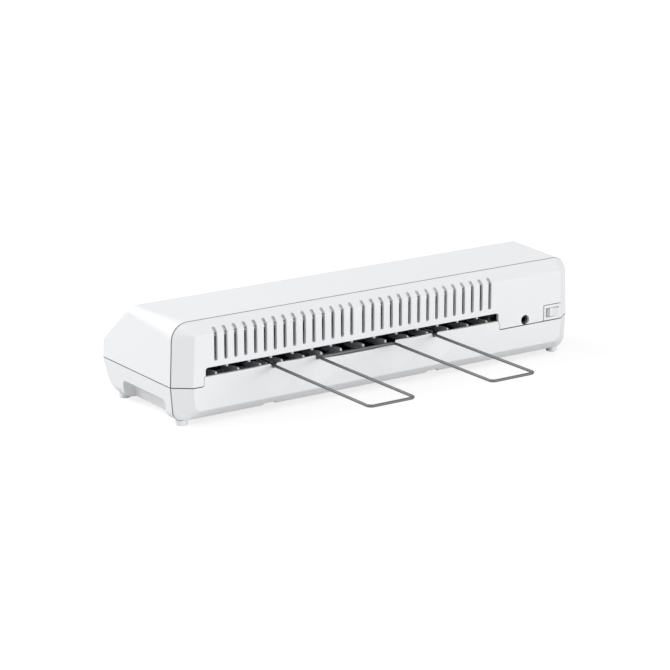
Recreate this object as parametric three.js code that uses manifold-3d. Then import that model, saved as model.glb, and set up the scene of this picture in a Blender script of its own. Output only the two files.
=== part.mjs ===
// Desktop pouch laminator for 9 inch pouches, in millimetres, +Z up.
//
// The front, where a pouch is fed in, faces -Y; the laminated pouch leaves through the slot in
// the rear, +Y, and slides out on a wire rack. +X is the right-hand end seen from the front.
// All pieces are drawn with y = 0 on the flat rear face, inside one group that is moved along Y
// so that the origin ends up under the middle of machine and rack together, on the table top.

import * as THREE from 'three';
import { mergeVertices } from 'three/addons/utils/BufferGeometryUtils.js';
import Module from 'manifold-3d';

const wasm = await Module();
wasm.setup();

// ---- Driving dimensions ---------------------------------------------------------------------

// Casing
const WIDTH = 330;
const DEPTH = 99;
const HEIGHT = 70;
const UNDERSIDE = 4;
const WALL = 2.4;
const GAP = 0.3;
const SEAM_Z = 27.3; // parting line between covers and base, all the way round
const SEAM_Y = -9.4; // parting line between the main covers and the two rear pieces
const REAR_BEVEL = { side: 12.2, top: 7.6, low: 7 };
const SLOPE = { topY: -66.5, noseY: -97.5, noseZ: 42 };
const CHIN_Y = -92.6;

// Pouch path: all slots and guides share one centre line and one nip height
const PATH_X = 23.5;
const NIP_Z = 37;
const FEED_SLOT = { half: 117.5, low: 33.5, high: 40 };
const EXIT_SLOT = { half: 120, low: 33.6, high: 39.6 };

// Rollers: two nips of a lower and an upper silicone roller
const ROLLER_R = 9;
const NIP_GAP = 0.4;
const SHAFT_R = 3;
const HOT_Y = -62;
const PULL_Y = -36;
const LOWER_Z = NIP_Z - ROLLER_R - NIP_GAP / 2;
const UPPER_Z = NIP_Z + ROLLER_R + NIP_GAP / 2;
const SLEEVE = { left: -95, right: 142 };
const FLOAT = 0.8; // how far an upper roller can lift against its springs

// Side plates of the roller frame: the x of the face that looks at the rollers
const PLATE = { left: -100, right: 147, thick: 1.2, top: 62.2, foot: 6.7 };
const SIDES = [['left', PLATE.left, -1], ['right', PLATE.right, 1]];

// Gear train, outside the left plate
const ROLLER_TEETH = 18;
const SMALL_TEETH = 12;
const MODULE = (UPPER_Z - LOWER_Z) / ROLLER_TEETH;
const GEAR_X = [-110.5, -104.5];

// Exit rack, bent from one length of wire
const WIRE_R = 1;
const RACK = { z: 32, outer: 66, inner: 30.8, reach: 108.4, bar: -1.5, ends: -20, bend: 3.5 };

// Machine and rack together are centred on y = 0
const REAR_Y = (DEPTH - RACK.reach - WIRE_R) / 2;

// ---- Finishes -------------------------------------------------------------------------------

const FINISH = {
  whitePlastic: [0xf0f1f2, 0.45, 0],
  greyPlastic: [0x9aa0a4, 0.5, 0],
  slatePlastic: [0x3a4246, 0.55, 0],
  blackPlastic: [0x141416, 0.5, 0],
  gearPlastic: [0xe6dfc8, 0.5, 0],
  steel: [0x8f9396, 0.35, 0.9],
  wire: [0x4c5054, 0.35, 0.8],
  aluminium: [0xb9bcc0, 0.4, 0.9],
  silicone: [0xb4552d, 0.8, 0],
  board: [0x2f6b3a, 0.6, 0],
  brass: [0xb08d4a, 0.4, 0.9],
  redLens: [0xc4261d, 0.2, 0],
  greenLens: [0x2fa84f, 0.2, 0],
};

// ---- Making solids --------------------------------------------------------------------------

const machine = new THREE.Group();
machine.position.y = REAR_Y;

/** A closed three.js geometry as a solid that can be joined and cut. */
function toSolid(geometry) {
  const bare = geometry.clone();
  bare.deleteAttribute('normal');
  bare.deleteAttribute('uv');
  const joined = mergeVertices(bare, 1e-4);
  const corners = joined.index.array;
  const kept = [];
  for (let i = 0; i < corners.length; i += 3) {
    const [a, b, c] = corners.slice(i, i + 3);
    if (a !== b && b !== c && c !== a) kept.push(a, b, c);
  }
  return new wasm.Manifold(new wasm.Mesh({
    numProp: 3,
    vertProperties: new Float32Array(joined.getAttribute('position').array),
    triVerts: new Uint32Array(kept),
  }));
}

/** Adds one named mesh with its own material, to the machine or to a group inside it. */
function piece(name, body, finish, parent = machine) {
  const { vertProperties, triVerts } = body.getMesh();
  const geometry = new THREE.BufferGeometry();
  geometry.setAttribute('position', new THREE.BufferAttribute(vertProperties, 3));
  geometry.setIndex(new THREE.BufferAttribute(triVerts, 1));
  geometry.computeVertexNormals();
  const [color, roughness, metalness] = FINISH[finish];
  const mesh = new THREE.Mesh(geometry, new THREE.MeshStandardMaterial({
    color, roughness, metalness, flatShading: true,
  }));
  mesh.name = name;
  parent.add(mesh);
}

/** Joins a list of solids into one. */
function join(...bodies) {
  return bodies.flat().reduce((whole, body) => whole.add(body));
}

/** Cuts each of a list of solids out of a body. */
function cut(body, ...tools) {
  return tools.flat().reduce((rest, tool) => rest.subtract(tool), body);
}

/** A box between two corners. */
function block(x0, x1, y0, y1, z0, z1) {
  const box = new THREE.BoxGeometry(x1 - x0, y1 - y0, z1 - z0);
  box.translate((x0 + x1) / 2, (y0 + y1) / 2, (z0 + z1) / 2);
  return toSolid(box);
}

// A prism's outline is drawn in (y, z) along X, in (x, z) along Y and in (x, y) along Z.
const [X, Y, Z] = [[1, 0, 0], [0, 1, 0], [0, 0, 1]].map((v) => new THREE.Vector3(...v));
const ALONG = {
  x: new THREE.Matrix4().makeBasis(Y, Z, X),
  y: new THREE.Matrix4().makeBasis(X, Z, Y.clone().negate()),
  z: new THREE.Matrix4().makeBasis(X, Y, Z),
};

/** An outline of points, with optional holes, carried along an axis. */
function prism(axis, points, from, to, holes = []) {
  const shape = new THREE.Shape(points.map(([u, v]) => new THREE.Vector2(u, v)));
  shape.holes = holes.map((hole) => new THREE.Path(hole.map(([u, v]) => new THREE.Vector2(u, v))));
  const bar = new THREE.ExtrudeGeometry(shape, { depth: to - from, bevelEnabled: false });
  bar.translate(0, 0, axis === 'y' ? -to : from);
  return toSolid(bar.applyMatrix4(ALONG[axis]));
}

/** Points of an arc about (u, v), with a count of steps between the two end angles. */
function arc(u, v, radius, start, end, steps) {
  return Array.from({ length: steps + 1 }, (_, i) => {
    const angle = start + ((end - start) * i) / steps;
    return [u + radius * Math.cos(angle), v + radius * Math.sin(angle)];
  });
}

/** Points of a full circle. */
function circle(u, v, radius, sides = 20) {
  return arc(u, v, radius, 0, 2 * Math.PI, sides).slice(0, -1);
}

/** Points of a slot with round ends that stands upright, from low to high over all. */
function uprightSlot(u, width, low, high, steps = 3) {
  const r = width / 2;
  return [
    ...arc(u, low + r, r, Math.PI, 2 * Math.PI, steps),
    ...arc(u, high - r, r, 0, Math.PI, steps),
  ];
}

/** A straight round rod along an axis, about the point (u, v) of the other two. */
function rod(axis, radius, u, v, from, to, sides = 20) {
  return prism(axis, circle(u, v, radius, sides), from, to);
}

/** A convex outline of [u, v, radius] corners, anticlockwise, with each corner rounded. */
function rounded(corners, steps = 4) {
  return corners.flatMap(([u, v, radius], i) => {
    if (!radius) return [[u, v]];
    const before = corners.at(i - 1);
    const after = corners[(i + 1) % corners.length];
    const inAngle = Math.atan2(v - before[1], u - before[0]);
    let turn = Math.atan2(after[1] - v, after[0] - u) - inAngle;
    if (turn < 0) turn += 2 * Math.PI;
    const back = radius * Math.tan(turn / 2);
    const startU = u - back * Math.cos(inAngle);
    const startV = v - back * Math.sin(inAngle);
    const centreU = startU - radius * Math.sin(inAngle);
    const centreV = startV + radius * Math.cos(inAngle);
    const first = inAngle - Math.PI / 2;
    return arc(centreU, centreV, radius, first, first + turn, steps);
  });
}

/** The same convex outline moved inwards by a distance, with its radii reduced to match. */
function inset(corners, distance) {
  return corners.map(([u, v, radius], i) => {
    const before = corners.at(i - 1);
    const after = corners[(i + 1) % corners.length];
    const a = new THREE.Vector2(u - before[0], v - before[1]).normalize();
    const b = new THREE.Vector2(after[0] - u, after[1] - v).normalize();
    const shift = distance / (1 + a.dot(b));
    return [u - (a.y + b.y) * shift, v + (a.x + b.x) * shift, Math.max(radius - distance, 0)];
  });
}

// ---- Casing: two main covers and two rear pieces ----------------------------------------------

const HALF = WIDTH / 2;
const BASE_HALF = 163.1;
const TOP_HALF = 163.2;

const sideProfile = [
  [-REAR_BEVEL.low, UNDERSIDE, 0],
  [0, UNDERSIDE + REAR_BEVEL.low, 0],
  [0, HEIGHT - REAR_BEVEL.top, 0],
  [SEAM_Y, HEIGHT, 0],
  [SLOPE.topY, HEIGHT, 8],
  [SLOPE.noseY, SLOPE.noseZ, 6],
  [-DEPTH, SEAM_Z, 0],
  [CHIN_Y, UNDERSIDE, 8],
];
const frontProfile = [
  [-BASE_HALF, UNDERSIDE, 6],
  [BASE_HALF, UNDERSIDE, 6],
  [HALF, SEAM_Z, 0],
  [TOP_HALF, HEIGHT, 12],
  [-TOP_HALF, HEIGHT, 12],
  [-HALF, SEAM_Z, 0],
];
const planProfile = [
  [-HALF, -DEPTH, 4.5],
  [HALF, -DEPTH, 4.5],
  [HALF, SEAM_Y, 0],
  [HALF - REAR_BEVEL.side, 0, 0],
  [REAR_BEVEL.side - HALF, 0, 0],
  [-HALF, SEAM_Y, 0],
];

/** The casing's outer form, or its hollow when the three outlines are moved inwards. */
function casingForm(wall) {
  const profiles = [sideProfile, frontProfile, planProfile];
  const [side, front, plan] = profiles.map((profile) => rounded(inset(profile, wall)));
  return prism('x', side, -HALF - 1, HALF + 1)
    .intersect(prism('y', front, -DEPTH - 1, 1))
    .intersect(prism('z', plan, 0, HEIGHT + 1));
}

const outerForm = casingForm(0);
const shell = outerForm.subtract(casingForm(WALL));
const FAR = 200;
const mainZone = block(-FAR, FAR, -FAR, SEAM_Y - GAP / 2, -5, FAR);
const rearZone = block(-FAR, FAR, SEAM_Y + GAP / 2, FAR, -5, FAR);
const overSeam = block(-FAR, FAR, -FAR, FAR, SEAM_Z + GAP / 2, FAR);
const underSeam = block(-FAR, FAR, -FAR, FAR, -5, SEAM_Z - GAP / 2);

// The front slope carries the buttons and lamps: its own frame has local z along the normal.
const slopeAngle = Math.atan2(HEIGHT - SLOPE.noseZ, SLOPE.topY - SLOPE.noseY);
const slopeFace = new THREE.Group();
slopeFace.position.set(0, (SLOPE.topY + SLOPE.noseY) / 2, (HEIGHT + SLOPE.noseZ) / 2);
slopeFace.rotation.x = slopeAngle;
slopeFace.updateMatrix();
machine.add(slopeFace);

const BUTTON = { r: 4.7, y: -3, top: 1.4, flangeR: 6 };
const LAMP = { r: 2, y: 8, top: 0.6 };
const CONTROLS = [
  { x: -120, button: 'mode_button', lamp: 'power_lamp', lens: 'redLens' },
  { x: -138, button: 'reverse_button', lamp: 'ready_lamp', lens: 'greenLens' },
];

/** A round hole through the slope of the upper cover. */
function slopeHole(x, y, radius) {
  const drill = new THREE.CylinderGeometry(radius, radius, 12, 20).rotateX(Math.PI / 2);
  return toSolid(drill.translate(x, y, 0).applyMatrix4(slopeFace.matrix));
}

function makeUpperCover() {
  const { half, low, high } = FEED_SLOT;
  const mouth = rounded([
    [PATH_X - half, low, 2], [PATH_X + half, low, 2],
    [PATH_X + half, high, 2], [PATH_X - half, high, 2],
  ], 2);
  const holes = CONTROLS.flatMap(({ x }) => [
    slopeHole(x, BUTTON.y, BUTTON.r + GAP),
    slopeHole(x, LAMP.y, LAMP.r + GAP),
  ]);
  const body = shell.intersect(mainZone).intersect(overSeam);
  piece('upper_cover', cut(body, prism('y', mouth, -DEPTH - 2, -92), holes), 'whitePlastic');
}

// Feet: spigots go up through the floor of the base
const FOOT = { r: 4, x: 155, ys: [-12.5, -87], spigot: 2 };
const FEET = [
  ['foot_front_left', -FOOT.x, FOOT.ys[1]],
  ['foot_front_right', FOOT.x, FOOT.ys[1]],
  ['foot_rear_left', -FOOT.x, FOOT.ys[0]],
  ['foot_rear_right', FOOT.x, FOOT.ys[0]],
];

/** Shallow reliefs in the rear bottom edge, under the outer legs of the rack. */
function edgeReliefs() {
  const { x, half, top, back } = RELIEF;
  return [PATH_X - x, PATH_X + x].map((middle) => prism('y', [
    [middle - half - 4, 0], [middle + half + 4, 0], [middle + half, top], [middle - half, top],
  ], back, 1));
}

const HAND = { front: -73.3, back: -17.5, top: 17, low: 154, knee: [155.5, 12], high: 159, r: 4 };

/** Hand recess in one end of the base: s is -1 for the left end, 1 for the right. */
function handRecess(s, margin) {
  const [kneeX, kneeZ] = HAND.knee;
  const side = [
    [HAND.low, -1], [HAND.low, UNDERSIDE], [kneeX, kneeZ], [HAND.high, HAND.top],
    [HALF + 10, HAND.top], [HALF + 10, -1],
  ].map(([x, z]) => [s * (x - margin), z + margin]);
  const front = HAND.front - margin;
  const back = HAND.back + margin;
  const mouth = rounded([
    [front, -5, 0], [back, -5, 0], [back, HAND.top + margin, HAND.r], [front, HAND.top + margin, HAND.r],
  ]);
  return prism('y', s > 0 ? side.reverse() : side, front, back)
    .intersect(prism('x', mouth, -FAR, FAR));
}

function makeBaseTray() {
  const recesses = [-1, 1].map((s) => handRecess(s, 0));
  const recessWalls = [-1, 1].map((s) => handRecess(s, WALL).intersect(outerForm));
  const footHoles = FEET.map(([, x, y]) => rod('z', FOOT.spigot + GAP, x, y, 0, 10, 12));
  const vents = [-60, 0, 60].flatMap((x) => [-70, -30].map(
    (y) => block(x - 20, x + 20, y - 1.5, y + 1.5, 0, 10)));
  const body = join(shell, recessWalls).intersect(mainZone).intersect(underSeam);
  piece('base_tray', cut(body, recesses, footHoles, vents, edgeReliefs()), 'whitePlastic');
}

function makeFeet() {
  for (const [name, x, y] of FEET) {
    const pad = rod('z', FOOT.r, x, y, 0, UNDERSIDE - GAP, 20);
    const spigot = rod('z', FOOT.spigot, x, y, 1, UNDERSIDE + WALL + 0.6, 12);
    piece(name, join(pad, spigot), 'whitePlastic');
  }
}

// Rear pieces. The exit panel's tongue closes the casing below the exit slot.
const TONGUE = { left: PATH_X - EXIT_SLOT.half - 1.5, right: PATH_X + EXIT_SLOT.half + 1 };
const VENTS = { each: 15, first: 4.8, pitch: 7.66, width: 2.2, low: 43.5, high: 62 };
const VENT_GROOVE = { depth: 1.2, length: 4.8 };
const SWITCH = { x: -144.5, z: 33.2, y: -0.8 };
const SWITCH_BEZEL = { x: 7.5, z: 5.4 }; // half sizes
const CORD_HOLE = { x: -120.3, z: 31, r: 3.4 };
const RELIEF = { x: 67, half: 4.3, top: 5.9, back: -14 };
const DIMPLE = { r: 19, depth: 1.6 };
const LEGS = [-RACK.outer, -RACK.inner, RACK.inner, RACK.outer].map((x) => PATH_X + x);

/** A rectangular block about the switch's centre: half sizes in X and Z. */
function switchBlock(halfX, halfZ, y0, y1) {
  return block(SWITCH.x - halfX, SWITCH.x + halfX, y0, y1, SWITCH.z - halfZ, SWITCH.z + halfZ);
}

/** The blind groove that carries a vent on from the rear face up the bevel over it. */
function ventGroove(x) {
  const { depth, length } = VENT_GROOVE;
  const up = new THREE.Vector3(0, SEAM_Y, REAR_BEVEL.top).normalize();
  const across = X.clone().negate();
  const bar = uprightSlot(0, VENTS.width, -1, length, 2).map(([u, v]) => new THREE.Vector2(u, v));
  const groove = new THREE.ExtrudeGeometry(new THREE.Shape(bar), { depth: 4, bevelEnabled: false });
  const outward = across.clone().cross(up);
  groove.translate(0, 0, -depth).applyMatrix4(new THREE.Matrix4().makeBasis(across, up, outward));
  return toSolid(groove.translate(x, 0, HEIGHT - REAR_BEVEL.top));
}

function makeRearGrille() {
  const { half, low, high } = EXIT_SLOT;
  const mouth = rounded([
    [PATH_X - half, low - 1, 0], [PATH_X + half, low - 1, 0],
    [PATH_X + half, high, 2], [PATH_X - half, high, 2],
  ], 3);
  const ventXs = Array.from({ length: VENTS.each }, (_, k) => VENTS.first + VENTS.pitch * k)
    .flatMap((x) => [PATH_X - x, PATH_X + x]);
  const vents = ventXs.map(
    (x) => prism('y', uprightSlot(x, VENTS.width, VENTS.low, VENTS.high + 2, 2), -9, 1)
      .intersect(block(-FAR, FAR, -9, 1, 0, VENTS.high)));
  const body = cut(
    shell.intersect(rearZone).intersect(overSeam),
    block(TONGUE.left - GAP, TONGUE.right + GAP, -9, 1, 20, low + GAP),
    prism('y', mouth, -9, 1),
    switchBlock(SWITCH_BEZEL.x + 0.4, SWITCH_BEZEL.z + 0.4, -9, 1),
    rod('y', CORD_HOLE.r, CORD_HOLE.x, CORD_HOLE.z, -9, 1),
    vents,
    ventXs.map(ventGroove),
  );
  piece('rear_grille', body, 'whitePlastic');
}

function makeExitPanel() {
  const tongue = block(TONGUE.left, TONGUE.right, -WALL, 0, SEAM_Z - 1, EXIT_SLOT.low);
  const notches = LEGS.map((x) => prism('y', uprightSlot(x, 3.4, 30.3, 40, 4), -9, 1));
  const dimples = LEGS.map((x) => {
    const cone = new THREE.CylinderGeometry(DIMPLE.r, 0.1, DIMPLE.depth + 0.2, 32);
    return toSolid(cone.translate(x, 0.1 - DIMPLE.depth / 2, RACK.z));
  });
  const dip = block(LEGS[1], LEGS[2], -9, 1, 30.7, 40);
  const body = join(shell.intersect(rearZone).intersect(underSeam), tongue);
  piece('exit_panel', cut(body, notches, dimples, dip, edgeReliefs()), 'whitePlastic');
}

// ---- Roller frame: two side plates and the tie bars between them --------------------------------

const BUSH = { r: 5, flangeR: 6.5 };
const BEARINGS = [
  ['lower_hot', HOT_Y, LOWER_Z],
  ['upper_hot', HOT_Y, UPPER_Z],
  ['lower_pull', PULL_Y, LOWER_Z],
  ['upper_pull', PULL_Y, UPPER_Z],
];
const TIE_BARS = [
  ['tie_bar_front', -78, 14],
  ['tie_bar_rear', -22, 14],
  ['tie_bar_top', -22, 54],
];
const TIE_SPIGOT_R = 1.5;

// Gear centres, (y, z): the idler hangs under the two lower gears, the pinion in front of them
const ROLLER_PITCH_R = (MODULE * ROLLER_TEETH) / 2;
const SMALL_PITCH_R = (MODULE * SMALL_TEETH) / 2;
const halfStep = (PULL_Y - HOT_Y) / 2;
const smallDrop = Math.sqrt((ROLLER_PITCH_R + SMALL_PITCH_R) ** 2 - halfStep ** 2);
const IDLER = { y: HOT_Y + halfStep, z: LOWER_Z - smallDrop, studR: 2.5 };
const PINION = { y: HOT_Y - halfStep, z: LOWER_Z - smallDrop, shaftR: 2.5 };

/** A side plate: foot flange and spring tabs point inwards, s = -1 on the left, 1 on the right. */
function makeFramePlate(name, inner, s) {
  const outline = [
    [-82, PLATE.foot], [-18, PLATE.foot], [-18, PLATE.top], [-68, PLATE.top], [-82, 47],
  ];
  const bushHoles = BEARINGS.map(([, y, z]) => (z === LOWER_Z
    ? circle(y, z, BUSH.r + GAP)
    : uprightSlot(y, 2 * (BUSH.r + GAP), z - BUSH.r - GAP, z + BUSH.r + GAP + FLOAT, 8)));
  const tieHoles = TIE_BARS.map(([, y, z]) => circle(y, z, TIE_SPIGOT_R + GAP, 12));
  const outer = inner + s * PLATE.thick;
  const [from, to] = [inner, outer].sort((a, b) => a - b);
  const sheet = prism('x', outline, from, to, [...bushHoles, ...tieHoles]);
  const flangeEnds = [inner - s * 8, outer].sort((a, b) => a - b);
  const tabEnds = [inner - s * 6, outer].sort((a, b) => a - b);
  const flange = block(...flangeEnds, -74, -26, PLATE.foot, PLATE.foot + PLATE.thick);
  const tabs = [HOT_Y, PULL_Y].map(
    (y) => block(...tabEnds, y - 4, y + 4, PLATE.top - PLATE.thick, PLATE.top));
  const stud = rod('x', IDLER.studR, IDLER.y, IDLER.z, GEAR_X[0] - 1, from + 0.5, 16);
  piece(name, join(sheet, flange, tabs, s < 0 ? [stud] : []), 'steel');
}

function makeTieBars() {
  for (const [name, y, z] of TIE_BARS) {
    const bar = rod('x', 2.5, y, z, PLATE.left + GAP, PLATE.right - GAP, 16);
    const ends = rod('x', TIE_SPIGOT_R, y, z, PLATE.left - 3, PLATE.right + 3, 12);
    piece(name, join(bar, ends), 'steel');
  }
}

// ---- Rollers, bushes and gears ------------------------------------------------------------------

/** A bush from its flange, on the roller side of the plate, to its outer end. */
function bush(y, z, inner, s) {
  const span = (a, b) => [inner + s * a, inner + s * b].sort((p, q) => p - q);
  const body = rod('x', BUSH.r, y, z, ...span(-3.3, 3.2));
  const flange = rod('x', BUSH.flangeR, y, z, ...span(-3.3, -GAP));
  const bore = rod('x', SHAFT_R + GAP, y, z, ...span(-5, 5));
  return join(body, flange).subtract(bore);
}

function makeRollers() {
  for (const [name, y, z] of BEARINGS) {
    piece(`${name}_shaft`, rod('x', SHAFT_R, y, z, GEAR_X[0] - 1, PLATE.right + 4.5), 'steel');
    const tube = [circle(y, z, ROLLER_R, 32), [circle(y, z, SHAFT_R + GAP)]];
    piece(`${name}_sleeve`, prism('x', tube[0], SLEEVE.left, SLEEVE.right, tube[1]), 'silicone');
    for (const [side, inner, s] of SIDES) {
      piece(`${name}_bush_${side}`, bush(y, z, inner, s), 'brass');
    }
  }
}

const BACKLASH = 0.12;

/** A spur gear about (y, z) with one tooth centred on the angle phase, measured from +Y to +Z. */
function gear(teeth, phase, y, z, boreR) {
  const pitchR = (MODULE * teeth) / 2;
  const rootR = pitchR - 1.1 * MODULE;
  const tipR = pitchR + 0.8 * MODULE;
  const half = Math.PI / (2 * teeth) - BACKLASH / pitchR;
  const points = Array.from({ length: teeth }, (_, i) => phase + (2 * Math.PI * i) / teeth)
    .flatMap((c) => [
      [rootR, c - 1.45 * half], [tipR, c - 0.45 * half],
      [tipR, c + 0.45 * half], [rootR, c + 1.45 * half],
    ])
    .map(([r, a]) => [y + r * Math.cos(a), z + r * Math.sin(a)]);
  return prism('x', points, ...GEAR_X, [circle(y, z, boreR)]);
}

/** The phase that meshes a gear with its neighbour, which lies at an angle and has its own phase. */
function meshing(teeth, toNeighbour, otherTeeth, otherPhase) {
  const turns = ((toNeighbour + Math.PI - otherPhase) * otherTeeth) / (2 * Math.PI);
  return toNeighbour - ((0.5 - turns) * 2 * Math.PI) / teeth;
}

const big = ROLLER_TEETH;
const small = SMALL_TEETH;
const idlerAngle = Math.atan2(-smallDrop, halfStep); // from the lower hot gear to the idler
const PHASES = { lowerHot: 0, upperHot: meshing(big, -Math.PI / 2, big, 0) };
PHASES.idler = meshing(small, idlerAngle + Math.PI, big, PHASES.lowerHot);
PHASES.pinion = meshing(small, -idlerAngle, big, PHASES.lowerHot);
PHASES.lowerPull = meshing(big, -Math.PI - idlerAngle, small, PHASES.idler);
PHASES.upperPull = meshing(big, -Math.PI / 2, big, PHASES.lowerPull);

function makeGears() {
  const bore = SHAFT_R + GAP;
  piece('lower_hot_gear', gear(big, PHASES.lowerHot, HOT_Y, LOWER_Z, bore), 'gearPlastic');
  piece('upper_hot_gear', gear(big, PHASES.upperHot, HOT_Y, UPPER_Z, bore), 'gearPlastic');
  piece('lower_pull_gear', gear(big, PHASES.lowerPull, PULL_Y, LOWER_Z, bore), 'gearPlastic');
  piece('upper_pull_gear', gear(big, PHASES.upperPull, PULL_Y, UPPER_Z, bore), 'gearPlastic');
  const idler = gear(small, PHASES.idler, IDLER.y, IDLER.z, IDLER.studR + GAP);
  piece('idler_gear', idler, 'gearPlastic');
  const pinion = gear(small, PHASES.pinion, PINION.y, PINION.z, PINION.shaftR - 0.5);
  const shaft = rod('x', PINION.shaftR, PINION.y, PINION.z, MOTOR.face + GAP, GEAR_X[1], 16);
  piece('motor_pinion', join(pinion, shaft), 'brass');
}

// ---- Motor -----------------------------------------------------------------------------------------

const MOTOR = { r: 22.5, y: -66, z: 30.5, back: -136, face: -115.2 };
const BRACKET_X = [-114.6, -113.4];

function makeMotor() {
  const can = rod('x', MOTOR.r, MOTOR.y, MOTOR.z, MOTOR.back, MOTOR.face, 32);
  const terminals = block(MOTOR.back + 6, MOTOR.face - 5, MOTOR.y + 18, MOTOR.y + 28,
    MOTOR.z - 5, MOTOR.z + 5);
  piece('drive_motor', join(can, terminals), 'steel');
}

function makeMotorBracket() {
  const outline = [
    [-84, PLATE.foot], [-44, PLATE.foot], [-44, 44], [-56, 54], [-72, 54], [-84, 40],
  ];
  const clearance = circle(PINION.y, PINION.z, PINION.shaftR + 1, 16);
  const sheet = prism('x', outline, ...BRACKET_X, [clearance]);
  const flange = block(BRACKET_X[0], BRACKET_X[1] + 8, -80, -48, PLATE.foot, PLATE.foot + 1.2);
  piece('motor_bracket', join(sheet, flange), 'steel');
}

// ---- Heating: a shoe round each hot roller, thermostat and heat shield ---------------------------------

const SHOE = { inner: 9.5, outer: 12.5, left: -90, right: 137 };

/** An open ring round a roller between two angles from +Y, carried along X. */
function shoe(z, start, end) {
  const radians = THREE.MathUtils.degToRad;
  const outside = arc(HOT_Y, z, SHOE.outer, radians(start), radians(end), 10);
  const inside = arc(HOT_Y, z, SHOE.inner, radians(end), radians(start), 10);
  return prism('x', [...outside, ...inside], SHOE.left, SHOE.right);
}

function makeHeating() {
  piece('upper_heater_shoe', shoe(UPPER_Z, 20, 160), 'aluminium');
  piece('lower_heater_shoe', shoe(LOWER_Z, 200, 340), 'aluminium');
  const seat = UPPER_Z + SHOE.outer + GAP;
  const disc = rod('z', 6, 30, HOT_Y, seat, seat + 3.6);
  const lugs = block(21, 39, HOT_Y - 2, HOT_Y + 2, seat + 0.6, seat + 1.6);
  piece('thermostat', join(disc, lugs), 'blackPlastic');
  const sheet = block(PLATE.left + GAP, PLATE.right - GAP, -58, -24, 65.4, 66.2);
  const legs = [[PLATE.left + GAP, PLATE.left + 1.1], [PLATE.right - 1.1, PLATE.right - GAP]].map(
    ([x0, x1]) => block(x0, x1, -58, -24, PLATE.top + GAP, 66));
  piece('heat_shield', join(sheet, legs), 'aluminium');
}

// ---- Paper path guides ------------------------------------------------------------------------------------

const GUIDE = { left: PLATE.left + GAP, right: PLATE.right - GAP, rib: 1.6 };
const RIB_XS = [
  -88.4, -71.7, -54.4, -37, -20.3, -1.7, 16.7, 35.1, 51, 65.3, 82.5, 99.5, 116.5, 133.7,
];

/** The same rib outline at every rib station across the path. */
function ribs(outline) {
  return RIB_XS.map((x) => prism('x', outline, x - GUIDE.rib / 2, x + GUIDE.rib / 2));
}

function makeGuides() {
  const feedLower = [
    [-94.3, 32.4], [-88, 34], [-73, 34.3], [-73, 35.9], [-88, 35.6], [-94.3, 34],
  ];
  const feedUpper = [
    [-94.3, 39.6], [-88, 38.8], [-73, 38.3], [-73, 39.9], [-88, 40.4], [-94.3, 41.2],
  ];
  piece('feed_guide_lower', prism('x', feedLower, GUIDE.left, GUIDE.right), 'slatePlastic');
  piece('feed_guide_upper', prism('x', feedUpper, GUIDE.left, GUIDE.right), 'slatePlastic');

  const lowerRib = [
    [-25.3, 28.5], [-3, 28.5], [-3, 34], [-3.7, 34.7], [-5.6, 34.7], [-11.8, 34.2], [-20, 31.6],
    [-25.3, 30],
  ];
  const bed = block(GUIDE.left, GUIDE.right, -25.5, -3, 27.6, 29);
  const sockets = [LEGS[0], LEGS[3]].map((x) => block(x - 2.8, x + 2.8, -19.5, -8, 28.5, 34));
  const bores = [LEGS[0], LEGS[3]].map((x) => rod('y', WIRE_R + 0.35, x, RACK.z, -25, 0, 12));
  piece('exit_guide_lower', cut(join(bed, ribs(lowerRib), sockets), bores), 'slatePlastic');

  const upperRib = [
    [-25.3, 41], [-15, 39], [-6, 39.1], [-3.2, 39.5], [-3.2, 43.5], [-25.3, 43.5],
  ];
  const roof = block(GUIDE.left, GUIDE.right, -25.5, -3.2, 43, 44.4);
  piece('exit_guide_upper', join(roof, ribs(upperRib)), 'slatePlastic');
}

// ---- Pressure springs over the four upper bushes -----------------------------------------------------------

/** A helix that climbs along Z, for a spring's wire to follow. */
class Helix extends THREE.Curve {
  constructor(x, y, low, high, radius, turns) {
    super();
    Object.assign(this, { x, y, low, high, radius, turns });
  }

  getPoint(t, target = new THREE.Vector3()) {
    const angle = 2 * Math.PI * this.turns * t;
    return target.set(
      this.x + this.radius * Math.cos(angle),
      this.y + this.radius * Math.sin(angle),
      this.low + (this.high - this.low) * t,
    );
  }
}

const SPRING = { r: 1.85, wireR: 0.35, turns: 4, steps: 32 };

function makeSprings() {
  const low = UPPER_Z + BUSH.flangeR + GAP + SPRING.wireR;
  const high = PLATE.top - PLATE.thick - GAP - SPRING.wireR;
  const section = new THREE.Shape(
    circle(0, 0, SPRING.wireR, 5).map(([u, v]) => new THREE.Vector2(u, v)));
  for (const [nip, y] of [['hot', HOT_Y], ['pull', PULL_Y]]) {
    for (const [side, inner, s] of SIDES) {
      const extrudePath = new Helix(inner - s * 2.6, y, low, high, SPRING.r, SPRING.turns);
      const wire = new THREE.ExtrudeGeometry(section, { extrudePath, steps: SPRING.steps });
      piece(`${nip}_spring_${side}`, toSolid(wire), 'steel');
    }
  }
}

// ---- Electrics: boards, lamps, buttons, power switch and cord gland ------------------------------------------

function makeControlBoard() {
  const sheet = block(-150.5, -149, -76, -34, 22, 56);
  const relay = block(-149.5, -139, -74, -60, 26, 42);
  const transformer = block(-149.5, -138, -52, -37, 24, 38);
  const capacitor = rod('x', 4, -48, 48, -149.5, -140, 16);
  piece('control_board', join(sheet, relay, transformer, capacitor), 'board');
}

const LAMP_BOARD = { top: -4.6, thick: 1.4 };

/** A round piece standing on the slope: radii and heights measured along its normal. */
function slopeDisc(x, y, radius, low, high) {
  return rod('z', radius, x, y, low, high);
}

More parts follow.
